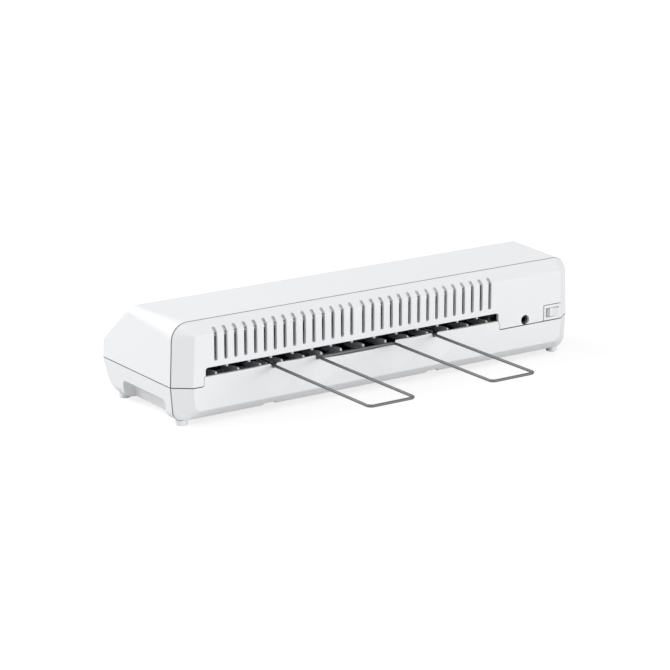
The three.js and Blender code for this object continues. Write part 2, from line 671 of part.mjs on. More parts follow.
function makeControls() {
  const { top, thick } = LAMP_BOARD;
  piece('lamp_board', block(-146, -111, -10, 13, top - thick, top), 'board', slopeFace);
  for (const { x, button, lamp, lens } of CONTROLS) {
    const cap = slopeDisc(x, BUTTON.y, BUTTON.r, -3, BUTTON.top);
    const flange = slopeDisc(x, BUTTON.y, BUTTON.flangeR, -3.4, -WALL - 0.4);
    piece(button, join(cap, flange), 'greyPlastic', slopeFace);
    piece(lamp, slopeDisc(x, LAMP.y, LAMP.r, top + GAP, LAMP.top), lens, slopeFace);
  }
}

function makeSwitch() {
  const bezel = switchBlock(SWITCH_BEZEL.x, SWITCH_BEZEL.z, -2.2, 0.5);
  const housing = switchBlock(6.4, 4.6, -16, 0);
  const well = switchBlock(5.7, 3.3, -7, 3);
  const pivot = rod('z', 1, SWITCH.x, SWITCH.y, SWITCH.z - 4, SWITCH.z + 4, 12);
  piece('switch_body', cut(join(bezel, housing), well, pivot), 'whitePlastic');

  // The rocker is a shallow V that turns on two pins; at rest its left half stands proud.
  const tilt = THREE.MathUtils.degToRad(-9);
  const section = [[-4.7, -0.8], [0, -3], [4.7, -0.8], [5, 2.4], [0, 1.2], [-5, 2.4]].map(([u, v]) => [
    SWITCH.x + u * Math.cos(tilt) - v * Math.sin(tilt),
    SWITCH.y + u * Math.sin(tilt) + v * Math.cos(tilt),
  ]);
  const paddle = prism('z', section, SWITCH.z - 3, SWITCH.z + 3);
  const pins = rod('z', 0.7, SWITCH.x, SWITCH.y, SWITCH.z - 3.8, SWITCH.z + 3.8, 12);
  piece('switch_rocker', join(paddle, pins), 'whitePlastic');
}

function makeCordGland() {
  const { x, z, r } = CORD_HOLE;
  const sleeve = rod('y', r - GAP, x, z, -6, -1.8);
  const collar = rod('y', 4.6, x, z, -5, -WALL - GAP).intersect(overSeam);
  piece('cord_gland', cut(join(sleeve, collar), rod('y', 1.9, x, z, -9, 1, 16)), 'blackPlastic');
}

// ---- Exit rack ------------------------------------------------------------------------------------------------

/** A path through given stations, one step of the swept wire to each. */
class Stations extends THREE.Curve {
  constructor(points) {
    super();
    this.points = points;
  }

  getPointAt(u, target = new THREE.Vector3()) {
    return target.copy(this.points[Math.round(u * (this.points.length - 1))]);
  }

  getTangentAt(u, target = new THREE.Vector3()) {
    const i = Math.round(u * (this.points.length - 1));
    const last = this.points.length - 1;
    return target.copy(this.points[Math.min(i + 1, last)])
      .sub(this.points[Math.max(i - 1, 0)]).normalize();
  }
}

/** Two U bends joined by a bar: the bends are quarter circles of one radius. */
function makeExitRack() {
  const { reach, bar, ends, bend } = RACK;
  const [a, b, c, d] = LEGS;
  const quarter = Math.PI / 2;
  const turns = [
    [a + bend, reach - bend, Math.PI, quarter], [b - bend, reach - bend, quarter, 0],
    [b + bend, bar + bend, Math.PI, 3 * quarter], [c - bend, bar + bend, -quarter, 0],
    [c + bend, reach - bend, Math.PI, quarter], [d - bend, reach - bend, quarter, 0],
  ];
  const route = [
    [a, ends],
    ...turns.flatMap(([x, y, from, to]) => arc(x, y, bend, from, to, 4)),
    [d, ends],
  ].map(([x, y]) => new THREE.Vector3(x, y, RACK.z));
  const section = new THREE.Shape(
    circle(0, 0, WIRE_R, 8).map(([u, v]) => new THREE.Vector2(u, v)));
  const extrudePath = new Stations(route);
  const wire = new THREE.ExtrudeGeometry(section, { extrudePath, steps: route.length - 1 });
  piece('exit_rack', toSolid(wire), 'wire');
}

// ---- Assembly ---------------------------------------------------------------------------------------------------

makeUpperCover();
makeBaseTray();
makeRearGrille();
makeExitPanel();
makeFeet();
SIDES.forEach(([side, inner, s]) => makeFramePlate(`frame_plate_${side}`, inner, s));
makeTieBars();
makeRollers();
makeGears();
makeMotor();
makeMotorBracket();
makeHeating();
makeGuides();
makeSprings();
makeControlBoard();
makeControls();
makeSwitch();
makeCordGland();
makeExitRack();

export default machine;
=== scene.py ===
import math

import bmesh
import bpy
import numpy as np
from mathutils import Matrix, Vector


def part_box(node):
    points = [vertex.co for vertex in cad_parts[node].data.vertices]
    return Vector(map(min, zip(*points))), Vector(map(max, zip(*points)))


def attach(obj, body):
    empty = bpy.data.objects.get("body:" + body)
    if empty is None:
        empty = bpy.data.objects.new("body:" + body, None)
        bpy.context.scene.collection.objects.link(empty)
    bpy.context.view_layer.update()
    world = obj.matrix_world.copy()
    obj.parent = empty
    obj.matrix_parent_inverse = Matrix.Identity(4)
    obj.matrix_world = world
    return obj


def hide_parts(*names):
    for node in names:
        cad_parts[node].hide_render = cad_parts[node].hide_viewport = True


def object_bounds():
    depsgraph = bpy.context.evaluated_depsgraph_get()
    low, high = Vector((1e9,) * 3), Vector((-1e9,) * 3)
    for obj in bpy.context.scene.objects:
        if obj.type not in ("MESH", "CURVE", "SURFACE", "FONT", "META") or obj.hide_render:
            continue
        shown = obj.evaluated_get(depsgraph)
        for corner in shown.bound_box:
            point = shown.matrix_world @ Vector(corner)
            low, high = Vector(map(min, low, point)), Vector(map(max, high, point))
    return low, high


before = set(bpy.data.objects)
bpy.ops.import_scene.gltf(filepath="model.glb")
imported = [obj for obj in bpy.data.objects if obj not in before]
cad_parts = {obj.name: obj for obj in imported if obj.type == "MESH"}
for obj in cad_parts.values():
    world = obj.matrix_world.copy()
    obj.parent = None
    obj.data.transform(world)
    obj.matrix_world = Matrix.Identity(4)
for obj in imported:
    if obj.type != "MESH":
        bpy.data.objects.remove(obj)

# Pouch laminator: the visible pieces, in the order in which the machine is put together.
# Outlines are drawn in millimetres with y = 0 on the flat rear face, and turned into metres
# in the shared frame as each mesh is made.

cad_low, cad_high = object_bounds()

# ---- Casing -----------------------------------------------------------------------------
# Four injection-moulded ABS shells, 2.4 mm thick, clip together along a level parting line
# and an upright one near the rear. Their outsides are cut from one rounded form, so the
# surfaces run on from shell to shell and only the thin parting gaps show.

# GAP is the play between pieces and FAR a length past every piece. The casing's faces and
# seams are read off the CAD pieces; the rest of its side and plan outlines is drawn here.
MM = 0.001
WALL = 2.4
GAP = 0.3
FAR = 400.0
REAR_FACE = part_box("rear_grille")[1].y / MM
SEAM_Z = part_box("upper_cover")[0].z / MM - GAP / 2
SEAM_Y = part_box("upper_cover")[1].y / MM - REAR_FACE + GAP / 2
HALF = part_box("base_tray")[1].x / MM
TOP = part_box("upper_cover")[1].z / MM
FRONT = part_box("upper_cover")[0].y / MM - REAR_FACE
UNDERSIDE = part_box("base_tray")[0].z / MM

FACE_LOW, FACE_HIGH = 11, 62.4
SLOPE_LOW, SLOPE_HIGH = np.array([-97.5, 42.0]), np.array([-66.5, 70.0])
CHIN_Y = -92.6
END_TAPER = 12.2
SMALL_R = 1.6
SIDE = [(-7, UNDERSIDE, 2), (0, FACE_LOW, SMALL_R), (0, FACE_HIGH, SMALL_R), (SEAM_Y, TOP, 0),
        (SLOPE_HIGH[0], TOP, 9), (*SLOPE_LOW, 7), (FRONT, SEAM_Z, 0), (CHIN_Y, UNDERSIDE, 11)]
PLAN = [(-HALF, FRONT, SMALL_R), (HALF, FRONT, SMALL_R), (HALF, SEAM_Y, 0),
        (HALF - END_TAPER, 0, SMALL_R), (END_TAPER - HALF, 0, SMALL_R), (-HALF, SEAM_Y, 0)]


def arc(u, v, radius, start, end, steps):
    """Points of a circle about (u, v) between two angles."""
    t = np.linspace(start, end, steps + 1)
    return np.stack([u + radius * np.cos(t), v + radius * np.sin(t)], 1)


def rounded(corners, steps=10):
    """An anticlockwise outline of (u, v, radius) corners. Each rounded corner is the arc that
    touches both of its edges; a corner that turns the other way is rounded as well."""
    points = []
    for i, (u, v, radius) in enumerate(corners):
        before, after = corners[i - 1], corners[(i + 1) % len(corners)]
        heading = math.atan2(v - before[1], u - before[0])
        turn = math.remainder(math.atan2(after[1] - v, after[0] - u) - heading, 2 * math.pi)
        if radius <= 0 or abs(turn) < 1e-6:
            points.append(np.array([[u, v]]))
            continue
        way = math.copysign(1, turn)
        back = radius * math.tan(abs(turn) / 2)
        start_u, start_v = u - back * math.cos(heading), v - back * math.sin(heading)
        centre = (start_u - way * radius * math.sin(heading),
                  start_v + way * radius * math.cos(heading))
        first = heading - way * math.pi / 2
        points.append(arc(*centre, radius, first, first + turn, steps))
    return np.concatenate(points)


def rounded_box(u, v, half_u, half_v, radius, steps=10):
    """An upright rectangle about (u, v) with four rounded corners."""
    return rounded([(u + i * half_u, v + j * half_v, radius)
                    for i, j in ((-1, -1), (1, -1), (1, 1), (-1, 1))], steps)


def inset(corners, distance):
    """A convex outline moved inwards: each corner slides along its bisector, and its radius
    shrinks by the distance."""
    moved = []
    for i, (u, v, radius) in enumerate(corners):
        before, after = corners[i - 1], corners[(i + 1) % len(corners)]
        a = np.array([u - before[0], v - before[1]])
        b = np.array([after[0] - u, after[1] - v])
        a, b = a / np.linalg.norm(a), b / np.linalg.norm(b)
        shift = distance / (1 + a @ b)
        u, v = u - (a[1] + b[1]) * shift, v + (a[0] + b[0]) * shift
        moved.append((u, v, max(radius - distance, 0)))
    return moved


def new_object(name, verts, faces):
    """A mesh object from millimetre points; its place is in its mesh."""
    verts = np.asarray(verts, float) + [0, REAR_FACE, 0]
    mesh = bpy.data.meshes.new(name)
    mesh.from_pydata((verts * MM).tolist(), [], faces)
    obj = bpy.data.objects.new(name, mesh)
    bpy.context.scene.collection.objects.link(obj)
    return obj


WELD = 1e-6


def tidy(obj):
    """Merges doubled points and turns every face outwards."""
    bm = bmesh.new()
    bm.from_mesh(obj.data)
    bmesh.ops.remove_doubles(bm, verts=bm.verts, dist=WELD)
    bmesh.ops.dissolve_degenerate(bm, edges=bm.edges, dist=WELD)
    bmesh.ops.recalc_face_normals(bm, faces=bm.faces)
    bm.to_mesh(obj.data)
    bm.free()
    return obj


def loft(name, rings, closed=False):
    """A skin over rings of points, an array of rings by points by 3: P(i, j) is point j of
    ring i. Both ends are capped, or the last ring meets the first when it is closed."""
    rings = np.asarray(rings, float)
    m, n = rings.shape[:2]
    i = np.arange(m if closed else m - 1)[:, None]
    j = np.arange(n)[None, :]
    a, b = i * n + j, ((i + 1) % m) * n + j
    c, d = ((i + 1) % m) * n + (j + 1) % n, i * n + (j + 1) % n
    faces = np.stack([a, b, c, d], -1).reshape(-1, 4).tolist()
    if not closed:
        faces += [list(range(n)), list(range((m - 1) * n, m * n))]
    return tidy(new_object(name, rings.reshape(-1, 3), faces))


AXES = {"x": (1, 2, 0), "y": (0, 2, 1), "z": (0, 1, 2)}


def prism(name, axis, outline, start, end):
    """An outline carried straight along an axis: (y, z) along x, (x, z) along y, (x, y) along z."""
    u, v, w = AXES[axis]
    outline = np.asarray(outline, float)
    rings = np.zeros((2, len(outline), 3))
    rings[:, :, u], rings[:, :, v] = outline[:, 0], outline[:, 1]
    rings[0, :, w], rings[1, :, w] = start, end
    return loft(name, rings)


def block(name, x0, x1, y0, y1, z0, z1):
    """A plain box."""
    return prism(name, "z", [(x0, y0), (x1, y0), (x1, y1), (x0, y1)], z0, z1)


def bake(obj):
    """Puts the result of the object's modifiers into its mesh."""
    graph = bpy.context.evaluated_depsgraph_get()
    mesh = bpy.data.meshes.new_from_object(obj.evaluated_get(graph))
    obj.modifiers.clear()
    obj.data = mesh
    mesh.name = obj.name
    return obj


def combine(obj, operation, *tools):
    """Joins tools to the object, cuts them out of it, or keeps what is inside them. The tools
    are used up."""
    for tool in tools:
        step = obj.modifiers.new("combine", "BOOLEAN")
        step.operation, step.solver, step.object = operation, "MANIFOLD", tool
        bake(obj)
        bpy.data.objects.remove(tool)
    return obj


def cut(obj, *tools):
    """Cuts tools out of the object."""
    return combine(obj, "DIFFERENCE", *tools)


ROUNDED_FROM, SMOOTH_UP_TO = math.radians(38), math.radians(55)
EDGE_SEGMENTS = 2


def soften(obj, edge):
    """Rounds every sharp edge by a small moulding radius in millimetres, shades the piece
    smooth, with each normal led by the largest face it touches, and keeps it inside the box of
    the CAD model."""
    bm = bmesh.new()
    bm.from_mesh(obj.data)
    bmesh.ops.remove_doubles(bm, verts=bm.verts, dist=2 * WELD)
    bm.to_mesh(obj.data)
    bm.free()
    if edge:
        bevel = obj.modifiers.new("edge radius", "BEVEL")
        bevel.width, bevel.segments = edge * MM, EDGE_SEGMENTS
        bevel.limit_method, bevel.angle_limit = "ANGLE", ROUNDED_FROM
        bevel.use_clamp_overlap, bevel.loop_slide, bevel.miter_outer = False, False, "MITER_ARC"
        bake(obj)
    obj.data.polygons.foreach_set("use_smooth", [True] * len(obj.data.polygons))
    obj.data.set_sharp_from_angle(angle=SMOOTH_UP_TO)
    weighted = obj.modifiers.new("normals", "WEIGHTED_NORMAL")
    weighted.keep_sharp = True
    bake(obj)
    points = np.zeros(len(obj.data.vertices) * 3)
    obj.data.vertices.foreach_get("co", points)
    points = np.clip(points.reshape(-1, 3), cad_low, cad_high)
    obj.data.vertices.foreach_set("co", points.ravel())
    return obj


def merged(name, parts):
    """One object made of several closed skins that stay apart. The parts are used up."""
    bm = bmesh.new()
    for part in parts:
        bm.from_mesh(part.data)
        bpy.data.objects.remove(part)
    mesh = bpy.data.meshes.new(name)
    bm.to_mesh(mesh)
    bm.free()
    obj = bpy.data.objects.new(name, mesh)
    bpy.context.scene.collection.objects.link(obj)
    return obj


# Corner radii of the upright outlines at five values of y, and how far the ends lean in from
# the parting line to the top and to the underside.
CORNER_Y = [FRONT, SLOPE_LOW[0], SLOPE_HIGH[0], SEAM_Y, 0]
CORNER_R = {"top": [2.5, 2.5, 5, 12, 1], "low": [4, 7, 7, 7, 5.5]}
LEAST_R = 0.6
FULLEST = 0.7
DRAFT = {"top": 1.8, "low": 1.9}
RING_STEP = 0.02


def outline_ring(corners, y, steps=12):
    """A six-sided (x, z) outline at one y: four rounded corners and, third and sixth, the two
    plain points where the parting line crosses the ends."""
    parts = []
    for i, (u, v, radius) in enumerate(corners):
        here = np.array([u, v])
        if i in (2, 5):
            parts.append(here[None])
            continue
        before, after = np.array(corners[i - 1][:2]), np.array(corners[(i + 1) % 6][:2])
        heading = math.atan2(*(here - before)[::-1])
        turn = math.remainder(math.atan2(*(after - here)[::-1]) - heading, 2 * math.pi)
        back = radius * math.tan(turn / 2)
        start = here - back * np.array([math.cos(heading), math.sin(heading)])
        centre = start + radius * np.array([-math.sin(heading), math.cos(heading)])
        first = heading - math.pi / 2
        parts.append(arc(*centre, radius, first, first + turn, steps))
    points = np.concatenate(parts)
    return np.stack([points[:, 0], np.full(len(points), y), points[:, 1]], 1)


def casing_form(name, wall):
    """The casing's rounded outer form, or its hollow when moved in by the wall. The form is a
    loft along Y: each ring is an upright six-sided outline whose top, underside and width are
    read off the side and plan outlines at that y, and whose corner radii follow a table. The
    top edge is roundest at the rear seam, and nearly sharp at the rear face and down the
    slope. A corner never takes up more than the fullest share of the height it has."""
    side = rounded(inset(SIDE, wall))
    plan = rounded(inset(PLAN, wall))
    nose = np.argmin(side[:, 0])
    rise, low_chain = side[:nose + 1], side[nose:]
    split = np.argmax(rise[:, 0] + 1e-3 * rise[:, 1])
    top_chain = rise[split:][::-1]
    low_chain = np.concatenate([low_chain, rise[:split]])
    low_chain = low_chain[np.argsort(low_chain[:, 0], kind="stable")]
    right = plan[plan[:, 0] > 0]
    right = right[np.argsort(right[:, 1], kind="stable")]
    ys = np.sort(np.concatenate([side[:, 0], right[:, 1], np.linspace(SEAM_Y, -wall, 9)]))
    ys = ys[ys <= -wall + 1e-6]
    ys = ys[np.concatenate([np.diff(ys) > RING_STEP, [True]])]
    rings = []
    for y in ys:
        at = max(y, ys[0] + 0.01)
        top = np.interp(at, top_chain[:, 0], top_chain[:, 1])
        low = np.interp(at, low_chain[:, 0], low_chain[:, 1])
        half = np.interp(at, right[:, 1], right[:, 0])
        radius = {k: max(np.interp(at, CORNER_Y, r) - wall, LEAST_R) for k, r in CORNER_R.items()}
        top_r = max(min(radius["top"], FULLEST * (top - SEAM_Z)), 1e-3)
        low_r = max(min(radius["low"], FULLEST * (SEAM_Z - low)), 1e-3)
        over = half - DRAFT["top"] * (top - SEAM_Z) / (TOP - SEAM_Z)
        under = half - DRAFT["low"] * (SEAM_Z - low) / (SEAM_Z - UNDERSIDE)
        corners = [(-under, low, low_r), (under, low, low_r), (half, SEAM_Z, 0),
                   (over, top, top_r), (-over, top, top_r), (-half, SEAM_Z, 0)]
        rings.append(outline_ring(corners, y))
    return loft(name, rings)


def shell(name, y0, y1, z0, z1):
    """The part of the casing wall that lies in a range of Y and of Z."""
    body = combine(casing_form(name, 0), "INTERSECT", block("zone", -FAR, FAR, y0, y1, z0, z1))
    return cut(body, casing_form("hollow", WALL))


# PATH_X is the middle of the paper path, LINE the width of a parting gap, and EDGE the radius
# of a moulded edge; the four ranges of Y and of Z part the form into its shells.
PATH_X = (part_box("exit_rack")[0].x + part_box("exit_rack")[1].x) / 2 / MM
LINE, EDGE = 0.6, 0.12
MAIN = (-FAR, SEAM_Y - LINE / 2)
REAR = (SEAM_Y + LINE / 2, FAR)
OVER = (SEAM_Z + LINE / 2, FAR)
UNDER = (-5, SEAM_Z - LINE / 2)


def node_group(name, inputs, outputs):
    """An empty shader group with float or vector inputs and named outputs."""
    group = bpy.data.node_groups.new(name, "ShaderNodeTree")
    for label, kind, value in inputs:
        socket = group.interface.new_socket(label, in_out="INPUT", socket_type=kind)
        socket.default_value = value
    for label, kind in outputs:
        group.interface.new_socket(label, in_out="OUTPUT", socket_type=kind)
    return group, group.nodes.new("NodeGroupInput"), group.nodes.new("NodeGroupOutput")


def moulded_grain():
    """Spark-eroded mould texture: height is fine noise over the piece's own coordinates, and
    mottle is slow noise that shifts gloss and shade a little from place to place."""
    group, given, out = node_group(
        "moulded grain",
        [("Grains per metre", "NodeSocketFloat", 1600), ("Depth", "NodeSocketFloat", 2e-5)],
        [("Normal", "NodeSocketVector"), ("Mottle", "NodeSocketFloat")])
    add, link = group.nodes.new, group.links.new
    place = add("ShaderNodeTexCoord")
    fine, slow, bump = add("ShaderNodeTexNoise"), add("ShaderNodeTexNoise"), add("ShaderNodeBump")
    fine.inputs["Detail"].default_value = 3
    slow.inputs["Scale"].default_value, slow.inputs["Detail"].default_value = 22, 2
    bump.inputs["Strength"].default_value = 1
    for noise in (fine, slow):
        link(place.outputs["Object"], noise.inputs["Vector"])
    link(given.outputs["Grains per metre"], fine.inputs["Scale"])
    link(given.outputs["Depth"], bump.inputs["Distance"])
    link(fine.outputs["Fac"], bump.inputs["Height"])
    link(bump.outputs["Normal"], out.inputs["Normal"])
    link(slow.outputs["Fac"], out.inputs["Mottle"])
    return group


def drawn_lines():
    """Rolled or drawn metal: noise stretched along one direction makes fine parallel lines, as
    height and as a mask that shifts gloss and shade."""
    group, given, out = node_group(
        "drawn lines",
        [("Stretch", "NodeSocketVector", (40, 900, 900)), ("Depth", "NodeSocketFloat", 1e-5)],
        [("Normal", "NodeSocketVector"), ("Mottle", "NodeSocketFloat")])
    add, link = group.nodes.new, group.links.new
    place, scaled = add("ShaderNodeTexCoord"), add("ShaderNodeVectorMath")
    lines, bump = add("ShaderNodeTexNoise"), add("ShaderNodeBump")
    scaled.operation = "MULTIPLY"
    lines.inputs["Scale"].default_value, lines.inputs["Detail"].default_value = 1, 3
    bump.inputs["Strength"].default_value = 1
    link(place.outputs["Object"], scaled.inputs[0])
    link(given.outputs["Stretch"], scaled.inputs[1])
    link(scaled.outputs["Vector"], lines.inputs["Vector"])
    link(given.outputs["Depth"], bump.inputs["Distance"])
    link(lines.outputs["Fac"], bump.inputs["Height"])
    link(bump.outputs["Normal"], out.inputs["Normal"])
    link(lines.outputs["Fac"], out.inputs["Mottle"])
    return group


GRAIN, LINES = moulded_grain(), drawn_lines()


def finish(name, colour, roughness, metallic=0.0, effect=GRAIN, settings=(), mottle=0.03,
           gloss_spread=0.05, **sockets):
    """A material whose shade and roughness wander a little about their middle values with the
    effect's mottle, and whose surface takes the effect's relief."""
    material = bpy.data.materials.new(name)
    material.use_nodes = True
    tree = material.node_tree
    shader = tree.nodes["Principled BSDF"]
    relief = tree.nodes.new("ShaderNodeGroup")
    relief.node_tree = effect
    for label, value in settings:
        relief.inputs[label].default_value = value
    shade, gloss = tree.nodes.new("ShaderNodeMix"), tree.nodes.new("ShaderNodeMapRange")
    shade.data_type = "RGBA"
    shade.inputs["A"].default_value = [c * (1 - mottle) for c in colour] + [1]
    shade.inputs["B"].default_value = [min(c * (1 + mottle), 1) for c in colour] + [1]
    gloss.inputs["To Min"].default_value = roughness - gloss_spread
    gloss.inputs["To Max"].default_value = roughness + gloss_spread
    tree.links.new(relief.outputs["Mottle"], shade.inputs["Factor"])
    tree.links.new(relief.outputs["Mottle"], gloss.inputs["Value"])
    tree.links.new(shade.outputs["Result"], shader.inputs["Base Color"])
    tree.links.new(gloss.outputs["Result"], shader.inputs["Roughness"])
    tree.links.new(relief.outputs["Normal"], shader.inputs["Normal"])
    shader.inputs["Metallic"].default_value = metallic
    for label, value in sockets.items():
        shader.inputs[label.replace("_", " ")].default_value = value
    return material


WHITE_ABS = finish("white ABS", (0.8, 0.806, 0.816), 0.5, mottle=0.008,
                   settings=[("Grains per metre", 1500), ("Depth", 1.2e-5)])


def fit(obj, body, slot, material, *nodes):
    """Gives a finished piece its material, and puts it in the place of its CAD nodes."""
    obj.data.materials.clear()
    obj.data.materials.append(material)
    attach(obj, body)
    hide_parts(*nodes)


def repaint(obj, material, pick):
    """Gives a second material to the faces that a test picks by their middle points, in
    millimetres, and their normals."""
    count = len(obj.data.polygons)
    middles, normals = np.zeros(count * 3), np.zeros(count * 3)
    obj.data.polygons.foreach_get("center", middles)
    obj.data.polygons.foreach_get("normal", normals)
    chosen = pick(middles.reshape(-1, 3) / MM - [0, REAR_FACE, 0], normals.reshape(-1, 3))
    index = np.zeros(count, np.int32)
    obj.data.polygons.foreach_get("material_index", index)
    index[chosen] = len(obj.data.materials)
    obj.data.materials.append(material)
    obj.data.polygons.foreach_set("material_index", index)


# The mating edges of the shells are painted dark grey: painted shade that draws the parting gaps.
SEAM_SHADE_PAINT = finish("painted seam shade", (0.34, 0.345, 0.352), 0.6, mottle=0.2,
                  settings=[("Grains per metre", 900), ("Depth", 5e-5)])


def on_seam(middles, normals):
    """True for the flat faces that stand on a parting gap, which take the painted seam shade."""
    near_y = np.abs(np.abs(middles[:, 1] - SEAM_Y) - LINE / 2) < 0.05
    near_z = np.abs(np.abs(middles[:, 2] - SEAM_Z) - LINE / 2) < 0.05
    return (near_y & (np.abs(normals[:, 1]) > 0.9)) | (near_z & (np.abs(normals[:, 2]) > 0.9))


# The upper cover: top, both ends above the parting line and the sloped front, in one moulding,
# with the long feed mouth and the holes for two buttons and two lamps.
MOUTH = {"z": 36.75, "half_x": 117.5, "half_z": 3.25, "r": 2}
SLOPE_MID = (SLOPE_LOW + SLOPE_HIGH) / 2
SLOPE_UP = (SLOPE_HIGH - SLOPE_LOW) / np.linalg.norm(SLOPE_HIGH - SLOPE_LOW)
SLOPE_OUT = np.array([-SLOPE_UP[1], SLOPE_UP[0]])
BUTTON = {"r": 4.7, "along": -3.0, "top": 1.4}
LAMP = {"r": 2.0, "along": 8.0, "top": 0.6}
CONTROL_X = (-120.0, -138.0)


def turned(name, profile, centre, axis, sides=64):
    """A turned piece: a closed (radius, height) profile carried round an axis. With e and f
    square to the axis a, P = centre + height a + radius (cos t e + sin t f)."""
    a = np.asarray(axis, float) / np.linalg.norm(axis)
    e = np.cross(a, [0, 0, 1] if abs(a[2]) < 0.9 else [0, 1, 0])
    e /= np.linalg.norm(e)
    f = np.cross(a, e)
    t = np.linspace(0, 2 * np.pi, sides, endpoint=False)[:, None]
    round_ = np.cos(t) * e + np.sin(t) * f
    profile = np.asarray(profile, float)
    rings = centre + profile[:, 1, None, None] * a + profile[:, 0, None, None] * round_[None]
    on_axis = profile[0, 0] < 1e-6 and profile[-1, 0] < 1e-6
    return loft(name, rings[1:-1] if on_axis else rings, closed=not on_axis)


def on_slope(x, along, height=0.0):
    """A point of the sloped front: along is measured up the slope, height outwards from it."""
    y, z = SLOPE_MID + along * SLOPE_UP + height * SLOPE_OUT
    return np.array([x, y, z])


SLOPE_AXIS = np.array([0, *SLOPE_OUT])


def drill(name, radius, centre, axis, depth=12.0, sides=48):
    """A plain round bar that reaches the same depth either side of its centre."""
    return turned(name, [(0, -depth), (radius, -depth), (radius, depth), (0, depth)],
                  centre, axis, sides)


upper_cover = shell("cover_top", *MAIN, *OVER)
feed_mouth = rounded_box(PATH_X, MOUTH["z"], MOUTH["half_x"], MOUTH["half_z"], MOUTH["r"])
cut(upper_cover, prism("mouth", "y", feed_mouth, -110, -92),
    *[drill("hole", r["r"] + GAP, on_slope(x, r["along"]), SLOPE_AXIS)
      for x in CONTROL_X for r in (BUTTON, LAMP)])
fit(soften(upper_cover, EDGE), "machine", "white_plastic", WHITE_ABS, "upper_cover")
repaint(upper_cover, SEAM_SHADE_PAINT, on_seam)

# The base tray: closed underneath, with a hand recess moulded into each end, four foot holes,
# floor vents, and two shallow reliefs in the rear edge.
RELIEF = {"x": 67, "half": 4.3, "flare": 8.3, "top": 5.9, "back": -14}
FOOT_X, FOOT_YS, FOOT_HOLE = 155.0, (-12.5, -87.0), 2.3
FLOOR_VENT = {"x": (-60, 0, 60), "y": (-70, -30), "half_x": 20, "half_y": 1.5}
RECESS = {"front": -73.3, "back": -17.5, "top": 17.0, "r": 4.0}
INNER_WALL = {"foot": 154, "knee": 155.5, "knee_z": 12, "knee_r": 6, "head": 159}
OUTSIDE = 180


def edge_reliefs():
    """Two flared notches in the bottom edge of the rear."""
    half, flare, top = RELIEF["half"], RELIEF["flare"], RELIEF["top"]
    return [prism("relief", "y", [(x - flare, 0), (x + flare, 0), (x + half, top), (x - half, top)],
                  RELIEF["back"], 1) for x in (PATH_X - RELIEF["x"], PATH_X + RELIEF["x"])]


def hand_recess(s, margin):
    """The hollow of one end's hand recess, grown by a margin: a leaning inner wall with a
    rounded knee, seen from the front, inside a mouth with two rounded upper corners."""
    front, back, top = RECESS["front"] - margin, RECESS["back"] + margin, RECESS["top"] + margin
    foot, knee, head = (INNER_WALL[k] - margin for k in ("foot", "knee", "head"))
    lean = rounded([(foot, -3, 0), (OUTSIDE, -3, 0), (OUTSIDE, top, 0), (head, top, RECESS["r"]),
                    (knee, INNER_WALL["knee_z"] + margin, INNER_WALL["knee_r"]),
                    (foot, UNDERSIDE + margin, 0)])
    mouth = rounded([(front, -6, 0), (back, -6, 0), (back, top, RECESS["r"] + margin),
                     (front, top, RECESS["r"] + margin)])
    body = prism("recess", "y", lean * [s, 1], front - 5, back + 5)
    return combine(body, "INTERSECT", prism("mouth", "x", mouth, -FAR, FAR))


base_tray = shell("base_shell", *MAIN, *UNDER)
for s in (-1, 1):
    wall = combine(hand_recess(s, WALL), "INTERSECT", casing_form("form", 0))
    combine(wall, "INTERSECT", block("zone", -FAR, FAR, *MAIN, *UNDER))
    combine(base_tray, "UNION", wall)
cut(base_tray, *[hand_recess(s, 0) for s in (-1, 1)], *edge_reliefs(),
    *[drill("hole", FOOT_HOLE, np.array([s * FOOT_X, y, 4]), (0, 0, 1))
      for s in (-1, 1) for y in FOOT_YS],
    merged("vents", [block("vent", x - FLOOR_VENT["half_x"], x + FLOOR_VENT["half_x"],
                           y - FLOOR_VENT["half_y"], y + FLOOR_VENT["half_y"], 0, 10)
                     for x in FLOOR_VENT["x"] for y in FLOOR_VENT["y"]]))
fit(soften(base_tray, EDGE), "machine", "white_plastic", WHITE_ABS, "base_tray")
repaint(base_tray, SEAM_SHADE_PAINT, on_seam)

# The rear grille: thirty upright vents whose tops run on as blind grooves up the bevel, the
# upper half of the exit slot, the switch opening, and the hole for the cord.
SLOT = {"left": PATH_X - 120, "right": PATH_X + 120, "low": 33.6, "high": 39.6}
TONGUE = {"left": SLOT["left"] - 1.5, "right": SLOT["right"] + 1}
VENT = {"half": 1.25, "low": 43.4, "high": 62.0, "first": 4.8, "pitch": 7.66, "a_side": 15}
VENT_X = [PATH_X + s * (VENT["first"] + VENT["pitch"] * k)
          for s in (-1, 1) for k in range(VENT["a_side"])]
GROOVE = {"length": 5.0, "depth": 1.3}
BEVEL_LOW = np.array([0, FACE_HIGH])
BEVEL_UP = np.array([SEAM_Y, TOP - FACE_HIGH]) / math.hypot(SEAM_Y, TOP - FACE_HIGH)
BEVEL_OUT = np.array([BEVEL_UP[1], -BEVEL_UP[0]])
SWITCH = {"x": -144.5, "z": 33.2, "half_x": 7.5, "half_z": 5.4, "play": 0.4}
CORD = {"x": -120.3, "z": 31.0, "r": 3.5}


def vent_groove(x):
    """A blind groove of the vent's width, with a round upper end, sunk square into the bevel."""
    half = VENT["half"]
    flat = np.concatenate([[[-half, -1.0], [half, -1.0]],
                           arc(0, GROOVE["length"] - half, half, 0, np.pi, 10)])
    yz = BEVEL_LOW + flat[:, 1:] * BEVEL_UP
    rings = [np.column_stack([x + flat[:, 0], yz + h * BEVEL_OUT])
             for h in (-GROOVE["depth"], 3.0)]
    return loft("groove", rings)


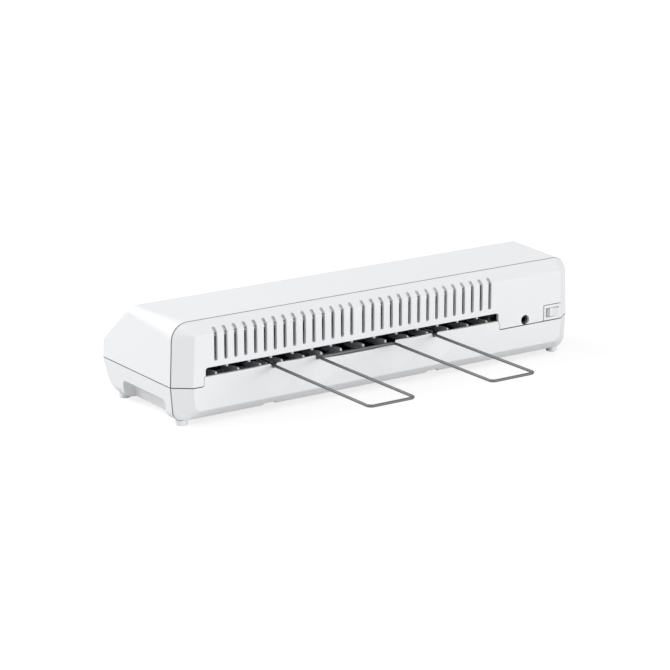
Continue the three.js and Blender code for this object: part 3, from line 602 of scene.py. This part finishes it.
rear_grille = shell("grille", *REAR, *OVER)
slot_edge = rounded([
    (TONGUE["left"] - 14, 20, 0), (TONGUE["right"] + 14, 20, 0), (TONGUE["right"] + 14, OVER[0], 0),
    (TONGUE["right"] + GAP, OVER[0], 1.2), (TONGUE["right"] + GAP, SLOT["low"] + GAP, 0),
    (SLOT["right"], SLOT["low"] + GAP, 0), (SLOT["right"], SLOT["high"], 2),
    (SLOT["left"], SLOT["high"], 2), (SLOT["left"], SLOT["low"] + 1, 0),
    (TONGUE["left"] - GAP, OVER[0], 0), (TONGUE["left"] - 14, OVER[0], 0)])
vents = merged("vents", [prism("vent", "y", np.concatenate([
    arc(x, VENT["low"] + VENT["half"], VENT["half"], np.pi, 2 * np.pi, 10),
    [[x + VENT["half"], VENT["high"]], [x - VENT["half"], VENT["high"]]]]), -9, 1) for x in VENT_X])
switch_hole = rounded_box(SWITCH["x"], SWITCH["z"], SWITCH["half_x"] + SWITCH["play"],
                          SWITCH["half_z"] + SWITCH["play"], 0.8)
cut(rear_grille, prism("slot", "y", slot_edge, -9, 1), vents,
    merged("grooves", [vent_groove(x) for x in VENT_X]),
    prism("switch hole", "y", switch_hole, -9, 1),
    drill("cord hole", CORD["r"], np.array([CORD["x"], 0, CORD["z"]]), (0, 1, 0)))
fit(soften(rear_grille, EDGE), "machine", "white_plastic", WHITE_ABS, "rear_grille")
repaint(rear_grille, SEAM_SHADE_PAINT, on_seam)

# The grooves' floors are painted grey: painted shade in the blind grooves.
GROOVE_SHADE_PAINT = finish("painted groove shade", (0.6, 0.605, 0.61), 0.6, mottle=0.2,
                    settings=[("Grains per metre", 900), ("Depth", 5e-5)])


def in_groove(middles, normals):
    """True for the faces below the bevel's surface and within the width of a vent, which take the
    painted groove shade.
    """
    yz = middles[:, 1:] - BEVEL_LOW
    along, height = yz @ BEVEL_UP, yz @ BEVEL_OUT
    aside = np.abs(middles[:, :1] - np.array(VENT_X)).min(1)
    return ((along > -1.5) & (along < GROOVE["length"] + 0.05) & (height < -0.15)
            & (height > -2.1) & (aside < VENT["half"] + 0.05))


repaint(rear_grille, GROOVE_SHADE_PAINT, in_groove)

# The exit panel: the lower rear moulding. Its tongue closes the casing under the exit slot,
# notched for the legs of the rack, and a shallow cone is sunk round each leg.
LEG_X = [PATH_X - 66, PATH_X - 30.8, PATH_X + 30.8, PATH_X + 66]
LEG_Z = 32.0
DIMPLE = {"r": 18.0, "depth": 2.35}
NOTCH, NOTCH_FOOT, DIP = 1.7, 30.3, 30.7
exit_panel = shell("panel", *REAR, *UNDER)
tongue_edge = rounded([
    (TONGUE["left"] - 14, 25, 0), (TONGUE["right"] + 4, 25, 0), (TONGUE["right"] + 4, UNDER[1], 0),
    (TONGUE["right"], UNDER[1], 1.5), (TONGUE["right"], SLOT["low"], 0.6),
    (LEG_X[3] + NOTCH, SLOT["low"], 2), (LEG_X[3] + NOTCH, NOTCH_FOOT, 1.65),
    (LEG_X[3] - NOTCH, NOTCH_FOOT, 1.65), (LEG_X[3] - NOTCH, SLOT["low"], 2),
    (LEG_X[2] + NOTCH, SLOT["low"], 1.2), (LEG_X[2] + NOTCH, NOTCH_FOOT, 1.4),
    (LEG_X[2] - 1.6, NOTCH_FOOT, 0), (LEG_X[2] - 2.2, DIP, 0),
    (LEG_X[1] + 2.2, DIP, 0), (LEG_X[1] + 1.6, NOTCH_FOOT, 0),
    (LEG_X[1] - NOTCH, NOTCH_FOOT, 1.4), (LEG_X[1] - NOTCH, SLOT["low"], 1.2),
    (LEG_X[0] + NOTCH, SLOT["low"], 2), (LEG_X[0] + NOTCH, NOTCH_FOOT, 1.65),
    (LEG_X[0] - NOTCH, NOTCH_FOOT, 1.65), (LEG_X[0] - NOTCH, SLOT["low"], 2),
    (SLOT["left"] + 0.1, SLOT["low"], 0.6), (TONGUE["left"], UNDER[1], 0),
    (TONGUE["left"] - 14, UNDER[1], 0)])
combine(exit_panel, "UNION", prism("tongue", "y", tongue_edge, -WALL, 0))


def dimple(x):
    """A round hollow whose depth falls as depth (1 - r/R), deepest at the rack's leg, with its
    rim fading into the face."""
    s = np.linspace(0, 1, 14)
    hollow = np.column_stack([DIMPLE["r"] * s, -DIMPLE["depth"] * (1 - s)])
    middle = [[0, -DIMPLE["depth"]], [0.3, -DIMPLE["depth"]]]
    profile = np.concatenate([middle, hollow[1:], [[DIMPLE["r"], 0.5], [0, 0.5]]])
    return turned("dimple", profile, np.array([x, 0, LEG_Z]), (0, 1, 0), 96)


cut(exit_panel, *[dimple(x) for x in LEG_X], *edge_reliefs())
fit(soften(exit_panel, EDGE), "machine", "white_plastic", WHITE_ABS, "exit_panel")
repaint(exit_panel, SEAM_SHADE_PAINT, on_seam)

# ---- Feet ---------------------------------------------------------------------------------
# Four short moulded pegs pressed up into the floor of the base, each with a rounded rim. The
# profile gives radii and heights above the table.
for s, side in ((-1, "left"), (1, "right")):
    for y, end in zip(FOOT_YS, ("rear", "front")):
        rim = arc(3.4, 0.6, 0.6, -np.pi / 2, 0, 6)
        profile = [(0, 0.25), (2.4, 0.25), (2.7, 0), *rim, (3.85, 3.7), (2, 3.7), (2, 7), (0, 7)]
        foot = turned(f"peg_{end}_{side}", profile, np.array([s * FOOT_X, y, 0]), (0, 0, 1), 48)
        fit(soften(foot, 0), "machine", "white_plastic", WHITE_ABS, f"foot_{end}_{side}")

# ---- Paper path guides ----------------------------------------------------------------------
# Slate-grey ABS. Two plain lips lead the pouch in; behind the rollers a ribbed bed and a ribbed
# roof guide it out, and the ends of the ribs show in the exit slot, those of the roof between
# those of the bed.
SLATE_ABS = finish("slate ABS", (0.58, 0.615, 0.64), 0.3, mottle=0.06,
                   settings=[("Grains per metre", 1800), ("Depth", 1.5e-5)])
GUIDE = (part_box("exit_guide_lower")[0].x / MM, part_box("exit_guide_lower")[1].x / MM)
RIB_X = (-88.4, -71.7, -54.4, -37, -20.3, -1.7, 16.7, 35.1, 51, 65.3, 82.5, 99.5, 116.5, 133.7)
ROOF_RIB_X = (np.array(RIB_X[:-1]) + RIB_X[1:]) / 2
RIB_HALF = 0.8
GUIDE_EDGE = 0.2
SOCKET = {"half": 2.8, "y": (-19.5, -8), "z": (28.5, 32.7), "bore": 1.35}


def ribs(outline, middles):
    """A row of upright ribs of one outline, square to X."""
    return merged("ribs", [prism("rib", "x", outline, x - RIB_HALF, x + RIB_HALF)
                           for x in middles])


lower_rib = rounded([(-25.3, 28.5, 0), (-3, 28.5, 0), (-3, 34.7, 1.1), (-5.6, 34.7, 3),
                     (-11.8, 34.2, 6), (-20, 31.6, 6), (-25.3, 30, 0)])
guide_bed = block("guide_bed", *GUIDE, -25.5, -3, 27.6, 29)
combine(guide_bed, "UNION", ribs(lower_rib, RIB_X))
combine(guide_bed, "UNION", merged("sockets", [
    block("socket", x - SOCKET["half"], x + SOCKET["half"], *SOCKET["y"], *SOCKET["z"])
    for x in (LEG_X[0], LEG_X[3])]))
cut(guide_bed, merged("bores", [
    drill("bore", SOCKET["bore"], np.array([x, -14, LEG_Z]), (0, 1, 0), 12, 24)
    for x in (LEG_X[0], LEG_X[3])]))
fit(soften(guide_bed, GUIDE_EDGE), "machine", "slate_plastic", SLATE_ABS, "exit_guide_lower")

upper_rib = rounded([(-25.3, 41, 0), (-15, 39, 4), (-6, 37.5, 4), (-4, 36.9, 0.5),
                     (-3.2, 37.1, 0.4), (-3.2, 43.5, 0), (-25.3, 43.5, 0)])
guide_roof = block("guide_roof", *GUIDE, -25.5, -3.2, 43, 44.4)
combine(guide_roof, "UNION", ribs(upper_rib, ROOF_RIB_X))
fit(soften(guide_roof, GUIDE_EDGE), "machine", "slate_plastic", SLATE_ABS, "exit_guide_upper")

lower_lip = [(-94.3, 32.4, 0.5), (-88, 34, 4), (-73, 34.3, 0.5),
             (-73, 35.9, 0.5), (-88, 35.6, 4), (-94.3, 34, 0.7)]
upper_lip = [(-94.3, 39.6, 0.7), (-88, 38.8, 4), (-73, 38.3, 0.5),
             (-73, 39.9, 0.5), (-88, 40.4, 4), (-94.3, 41.2, 0.5)]
for place, lip in (("lower", lower_lip), ("upper", upper_lip)):
    piece = prism(f"feed_lip_{place}", "x", rounded(lip), *GUIDE)
    fit(soften(piece, GUIDE_EDGE), "machine", "slate_plastic", SLATE_ABS, f"feed_guide_{place}")

# ---- Exit rack ------------------------------------------------------------------------------
# One length of 2 mm drawn steel wire with a dull dark plating, bent into two U loops joined by
# a bar inside the slot. Its two outer ends slide in sockets of the lower guide.
RACK = {"r": 1.0, "reach": 108.4, "bar": -1.5, "ends": -20.0, "bend": 3.5}
DARK_WIRE = finish("dark plated wire", (0.17, 0.174, 0.178), 0.5, 0.5, LINES, mottle=0.12,
                   settings=[("Stretch", (500, 60, 500)), ("Depth", 8e-6)])


def bent_wire():
    """The wire's middle line: straight runs joined by quarter circles of the bend radius."""
    a, b, c, d = LEG_X
    bend, reach, bar = RACK["bend"], RACK["reach"], RACK["bar"]
    quarter = np.pi / 2
    turns = [(a + bend, reach - bend, np.pi, quarter), (b - bend, reach - bend, quarter, 0),
             (b + bend, bar + bend, np.pi, 3 * quarter), (c - bend, bar + bend, -quarter, 0),
             (c + bend, reach - bend, np.pi, quarter), (d - bend, reach - bend, quarter, 0)]
    parts = [[[a, RACK["ends"]]]] + [arc(x, y, bend, p, q, 12) for x, y, p, q in turns]
    line = np.concatenate(parts + [[[d, RACK["ends"]]]])
    return np.column_stack([line, np.full(len(line), LEG_Z)])


def swept_wire(name, line, radius, sides=20):
    """A round section carried along a line: P = line + r (cos t across + sin t up), where
    across is square to the line's direction and up to both."""
    way = np.gradient(line, axis=0)
    way /= np.linalg.norm(way, axis=1)[:, None]
    across = np.cross(way, [0, 0, 1.0])
    across /= np.linalg.norm(across, axis=1)[:, None]
    up = np.cross(across, way)
    t = np.linspace(0, 2 * np.pi, sides, endpoint=False)[None, :, None]
    section = np.cos(t) * across[:, None] + np.sin(t) * up[:, None]
    return loft(name, line[:, None] + radius * section)


rack = swept_wire("rack_wire", bent_wire(), RACK["r"])
fit(soften(rack, 0), "rack", "rack_wire", DARK_WIRE, "exit_rack")

# ---- Power switch ---------------------------------------------------------------------------
# A snap-in rocker switch: a white bezel nearly flush with the rear face, and a shallow
# V-shaped rocker in its well that turns on two pins.
WHITE_GLOSS = finish("white switch plastic", (0.8, 0.806, 0.812), 0.3, mottle=0.006,
                     settings=[("Grains per metre", 2500), ("Depth", 4e-6)])
PIVOT_Y = -0.8


def switch_block(name, half_x, half_z, y0, y1, radius):
    """A block about the switch's middle, with four rounded corners, between two depths."""
    outline = rounded_box(SWITCH["x"], SWITCH["z"], half_x, half_z, radius, 6)
    return prism(name, "y", outline, y0, y1)


bezel = switch_block("switch_bezel", SWITCH["half_x"], SWITCH["half_z"], -2.2, 0.5, 0.7)
combine(bezel, "UNION", switch_block("case", 6.4, 4.6, -16, 0, 0.3))
cut(bezel, switch_block("well", 5.7, 3.3, -7, 3, 0.4),
    drill("pivot", 1, np.array([SWITCH["x"], PIVOT_Y, SWITCH["z"]]), (0, 0, 1), 4, 24))
fit(soften(bezel, 0.15), "machine", "white_plastic", WHITE_GLOSS, "switch_body")

LEAN = math.radians(-9)
GREY_END = 1.9
section = rounded([(0, -3, 1), (4.7, -0.8, 0.6), (5, 2.4, 0.5),
                   (GREY_END, 1.2 + 0.24 * GREY_END + 0.03, 0), (0, 1.2, 1.5),
                   (-5, 2.4, 0.5), (-4.7, -0.8, 0.6)], 6)
spin = np.array([[math.cos(LEAN), math.sin(LEAN)], [-math.sin(LEAN), math.cos(LEAN)]])
paddle = prism("rocker_paddle", "z", section @ spin + [SWITCH["x"], PIVOT_Y],
               SWITCH["z"] - 3, SWITCH["z"] + 3)
combine(paddle, "UNION",
        drill("pins", 0.7, np.array([SWITCH["x"], PIVOT_Y, SWITCH["z"]]), (0, 0, 1), 3.8, 24))
fit(soften(paddle, 0.2), "rocker", "white_plastic", WHITE_GLOSS, "switch_rocker")
# The pressed-in end of the rocker is painted grey: painted shade on the end that tilts in.
PRESSED_END_SHADE = finish("painted shade on pressed rocker end", (0.46, 0.465, 0.47), 0.35, mottle=0.01,
                    settings=[("Grains per metre", 2500), ("Depth", 4e-6)])
repaint(paddle, PRESSED_END_SHADE,
        lambda middles, normals: middles[:, 0] - SWITCH["x"] > GREY_END)

# ---- Cord gland -----------------------------------------------------------------------------
# A black rubbery sleeve set back in the cord hole, with a collar behind the wall. Its
# underside is cut level with the parting line, where the exit panel closes the hole.
BLACK_RUBBER = finish("black gland plastic", (0.006, 0.006, 0.007), 0.5, mottle=0.1,
                      settings=[("Grains per metre", 1500), ("Depth", 1.5e-5)])
lip = arc(2.3, -2.2, 0.4, np.pi, np.pi / 2, 4)
profile = [(1.9, -6), *lip, (2.7, -1.8), (3.1, -2.2), (3.1, -2.75), (4.6, -2.75), (4.6, -5),
           (3.1, -5), (3.1, -6)]
gland = turned("gland_sleeve", profile, np.array([CORD["x"], 0, CORD["z"]]), (0, 1, 0), 48)
combine(gland, "INTERSECT", block("zone", -FAR, FAR, -FAR, FAR, *OVER))
fit(soften(gland, 0), "machine", "black_plastic", BLACK_RUBBER, "cord_gland")

# ---- Buttons and lamps ----------------------------------------------------------------------
# Two round push buttons with dished tops stand through the sloped front, each under the domed
# tip of its lamp: red for power and green for ready.
GREY_ABS = finish("grey ABS", (0.33, 0.35, 0.37), 0.4, mottle=0.03,
                  settings=[("Grains per metre", 1800), ("Depth", 1.2e-5)])


def lens(name, colour):
    """A clear, tinted, polished plastic."""
    return finish(name, colour, 0.15, mottle=0.05, gloss_spread=0.03,
                  settings=[("Grains per metre", 900), ("Depth", 2e-6)],
                  Transmission_Weight=0.35, IOR=1.5, Coat_Weight=0.3)


for x, body, button, lamp, slot, glass in (
        (CONTROL_X[0], "mode_key", "mode_button", "power_lamp", "red_lens",
         lens("red lens", (0.6, 0.02, 0.012))),
        (CONTROL_X[1], "reverse_key", "reverse_button", "ready_lamp", "green_lens",
         lens("green lens", (0.03, 0.42, 0.09)))):
    r, top = BUTTON["r"], BUTTON["top"]
    profile = [(0, -3.4), (6, -3.4), (6, -2.8), (r, -2.8), (r, top - 0.6),
               *arc(r - 0.6, top - 0.6, 0.6, 0, np.pi / 2, 6), (r - 1.1, top - 0.08),
               (r - 2.2, top - 0.3), (r - 3.4, top - 0.42), (0, top - 0.45)]
    cap = turned(button + "_cap", profile, on_slope(x, BUTTON["along"]), SLOPE_AXIS)
    fit(soften(cap, 0), body, "grey_plastic", GREY_ABS, button)
    r, top = LAMP["r"], LAMP["top"]
    profile = [(0, -4.3), (r, -4.3), *[(r * math.cos(t), top - 1.1 + 1.1 * math.sin(t))
                                       for t in np.linspace(0, np.pi / 2, 9)]]
    tip = turned(lamp + "_tip", profile, on_slope(x, LAMP["along"]), SLOPE_AXIS, 40)
    fit(soften(tip, 0), "machine", slot, glass, lamp)

# ---- Works inside the casing ----------------------------------------------------------------
# Steel side plates carry two pairs of silicone-covered rollers, driven by ivory nylon gears
# from a motor. Half-round aluminium shoes heat the front pair, and springs press both pairs.
STEEL = finish("zinc-plated steel", (0.5, 0.51, 0.52), 0.34, 0.9, LINES, mottle=0.08,
               settings=[("Stretch", (30, 30, 700)), ("Depth", 8e-6)])
ALUMINIUM = finish("rolled aluminium", (0.62, 0.63, 0.64), 0.38, 0.9, LINES, mottle=0.06,
                   settings=[("Stretch", (20, 600, 600)), ("Depth", 8e-6)])
SILICONE = finish("silicone rubber", (0.03, 0.031, 0.033), 0.6, mottle=0.05,
                  settings=[("Grains per metre", 900), ("Depth", 3e-5)])
NYLON = finish("ivory nylon", (0.74, 0.69, 0.54), 0.45, mottle=0.03,
               settings=[("Grains per metre", 1200), ("Depth", 1e-5)], Subsurface_Weight=0.1)
BRASS = finish("turned brass", (0.62, 0.44, 0.19), 0.32, 0.95, LINES, mottle=0.08,
               settings=[("Stretch", (900, 60, 60)), ("Depth", 6e-6)])
BOARD = finish("green circuit board", (0.03, 0.14, 0.05), 0.4, mottle=0.25,
               settings=[("Grains per metre", 600), ("Depth", 3e-5)])
BLACK_ABS = finish("black phenolic", (0.01, 0.01, 0.011), 0.42, mottle=0.1,
                   settings=[("Grains per metre", 1500), ("Depth", 1.5e-5)])
INSIDE = {"steel": STEEL, "aluminium": ALUMINIUM, "silicone": SILICONE, "gear_plastic": NYLON,
          "brass": BRASS, "circuit_board": BOARD, "black_plastic": BLACK_ABS}
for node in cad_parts.values():
    slot = node.data.materials[0].name
    if slot in INSIDE:
        node.data.materials[0] = INSIDE[slot]

# ---- Stage ----------------------------------------------------------------------------------
# A broad pale floor under a white surround. One large soft light stands high beyond the feed
# side and the right-hand end, and one low behind the exit side, square to the rear face.
def seen_or_lit(tree, seen, lit, output):
    """Shows one shader to the camera and lets another light the machine."""
    pick, ray = tree.nodes.new("ShaderNodeMixShader"), tree.nodes.new("ShaderNodeLightPath")
    tree.links.new(ray.outputs["Is Camera Ray"], pick.inputs["Fac"])
    tree.links.new(lit.outputs[0], pick.inputs[1])
    tree.links.new(seen.outputs[0], pick.inputs[2])
    tree.links.new(pick.outputs["Shader"], tree.nodes[output].inputs["Surface"])


FLOOR_HALF = 6000
stage_floor = block("stage_floor", -FLOOR_HALF, FLOOR_HALF, -FLOOR_HALF, FLOOR_HALF, -20, 0)
paper = finish("floor paper", (0.66, 0.66, 0.665), 0.9, mottle=0.0, Specular_IOR_Level=0.1)
tree = paper.node_tree
bright = tree.nodes.new("ShaderNodeBsdfPrincipled")
for label, value in (("Base Color", (0.3, 0.3, 0.3, 1)), ("Roughness", 0.9),
                     ("Specular IOR Level", 0.0), ("Emission Color", (1, 1, 1, 1)),
                     ("Emission Strength", 0.78)):
    bright.inputs[label].default_value = value
seen_or_lit(tree, bright, tree.nodes["Principled BSDF"], "Material Output")
stage_floor.data.materials.append(paper)

world = bpy.data.worlds.new("white surround")
bpy.context.scene.world = world
world.use_nodes = True
sky = world.node_tree.nodes["Background"]
backdrop = world.node_tree.nodes.new("ShaderNodeBackground")
for glow, strength in ((sky, 0.64), (backdrop, 1.1)):
    glow.inputs["Color"].default_value = (1, 1, 1, 1)
    glow.inputs["Strength"].default_value = strength
seen_or_lit(world.node_tree, backdrop, sky, "World Output")


def soft_light(name, way, distance, size, power, target=(0, -0.03, 0.03)):
    """A rectangular light that stands along a direction from the target and faces it."""
    light = bpy.data.lights.new(name, "AREA")
    light.shape, light.size, light.size_y, light.energy = "RECTANGLE", *size, power
    lamp = bpy.data.objects.new(name, light)
    bpy.context.scene.collection.objects.link(lamp)
    way = Vector(way).normalized()
    lamp.location = Vector(target) + distance * way
    lamp.rotation_euler = way.to_track_quat("Z", "Y").to_euler()


soft_light("feed_side", (0.55, -0.5, 0.62), 4.5, (3.2, 3.2), 156)
soft_light("exit_side", (-0.3, 1.0, 0.08), 3.6, (2.0, 0.7), 60)

# The camera stands a little above, off the exit side and the right-hand end, with a long lens.
CAMERA = {"azimuth": 145.725, "elevation": 15.815, "distance": 1.7544, "lens": 136.5,
          "target": (0.01281, -0.0481, 0.03108)}
azimuth, elevation = math.radians(CAMERA["azimuth"]), math.radians(CAMERA["elevation"])
outward = Vector((math.sin(azimuth) * math.cos(elevation), -math.cos(azimuth) * math.cos(elevation),
                  math.sin(elevation)))
lens_data = bpy.data.cameras.new("camera")
lens_data.lens, lens_data.sensor_width = CAMERA["lens"], 36
camera = bpy.data.objects.new("camera", lens_data)
bpy.context.scene.collection.objects.link(camera)
camera.location = Vector(CAMERA["target"]) + CAMERA["distance"] * outward
camera.rotation_euler = outward.to_track_quat("Z", "Y").to_euler()
bpy.context.scene.camera = camera
bpy.context.scene.view_settings.view_transform = "Standard"
